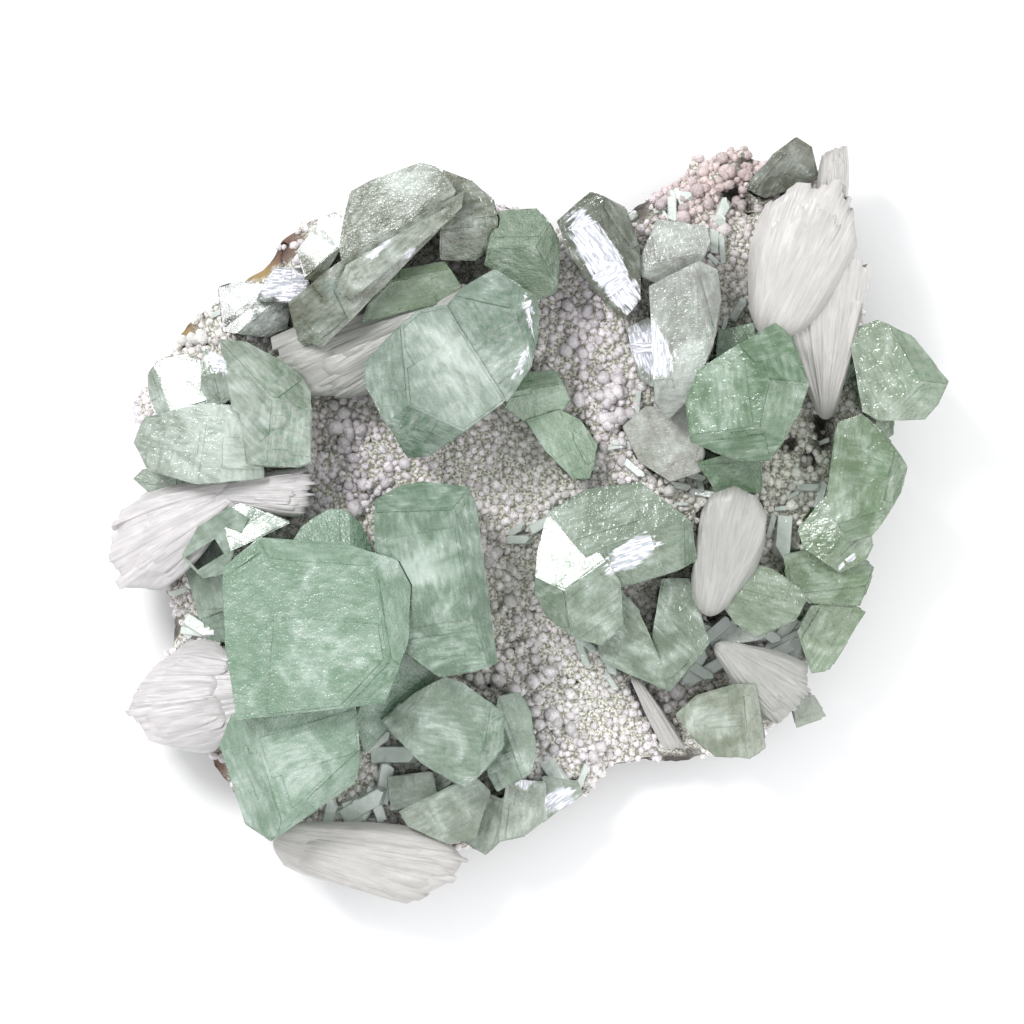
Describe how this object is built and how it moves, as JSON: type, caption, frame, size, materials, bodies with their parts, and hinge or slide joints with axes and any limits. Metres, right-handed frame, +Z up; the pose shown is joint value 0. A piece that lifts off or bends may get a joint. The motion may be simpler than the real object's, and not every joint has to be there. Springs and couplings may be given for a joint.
{
  "type": "apophyllite specimen",
  "caption": "Mineral specimen: blocky green apophyllite crystals and cream stilbite sheaves on a basalt plate with a crust of botryoidal druse.",
  "frame": {"origin": "on the flat cut underneath, halfway along the specimen's length", "axes": "+Z up from the flat cut, +X along the specimen's length"},
  "size_m": [0.151, 0.1386, 0.0499],
  "materials": {
    "druse_on_basalt": "fine botryoidal druse, lilac grey over dark gaps, rough brown to black basalt at the sides and underneath",
    "green_apophyllite": "glassy to frosted, see-through green with cloudy white veils",
    "deep_green_apophyllite": "glassy, see-through deep green",
    "pale_apophyllite": "frosted pale green, cloudy",
    "cream_stilbite": "silky, with fine striations along the sheaf",
    "white_stilbite": "silky white, with fine striations along the sheaf"
  },
  "bodies": {
    "root": {"matrix": "druse_on_basalt", "apophyllite_long_slabs": "pale_apophyllite", "apophyllite_frosted_block": "green_apophyllite", "apophyllite_grey_block": "green_apophyllite", "apophyllite_dark_wedge": "deep_green_apophyllite", "apophyllite_left_blocks": "pale_apophyllite", "apophyllite_left_small": "pale_apophyllite", "apophyllite_rim_plates": "pale_apophyllite", "apophyllite_big_block": "green_apophyllite", "apophyllite_tall_block": "green_apophyllite", "apophyllite_fan_block": "green_apophyllite", "apophyllite_bottom_edge": "pale_apophyllite", "apophyllite_valley_pair": "green_apophyllite", "apophyllite_centre_group": "pale_apophyllite", "apophyllite_dark_slab": "deep_green_apophyllite", "apophyllite_pale_blades": "pale_apophyllite", "apophyllite_coated_crystal": "pale_apophyllite", "apophyllite_pointed_block": "green_apophyllite", "apophyllite_top_crystal": "deep_green_apophyllite", "apophyllite_right_block": "green_apophyllite", "apophyllite_right_edge": "deep_green_apophyllite", "apophyllite_three_sided": "green_apophyllite", "apophyllite_lower_right": "green_apophyllite", "apophyllite_corner_tip": "pale_apophyllite", "stilbite_upper_fan": "cream_stilbite", "stilbite_left_bow_tie": "white_stilbite", "stilbite_bottom_fan": "cream_stilbite", "stilbite_lower_left_fan": "white_stilbite", "stilbite_bow_tie": "cream_stilbite", "stilbite_capsule": "cream_stilbite", "stilbite_grey_fan": "cream_stilbite", "stilbite_thin_blade": "cream_stilbite"}
  },
  "joints": []
}
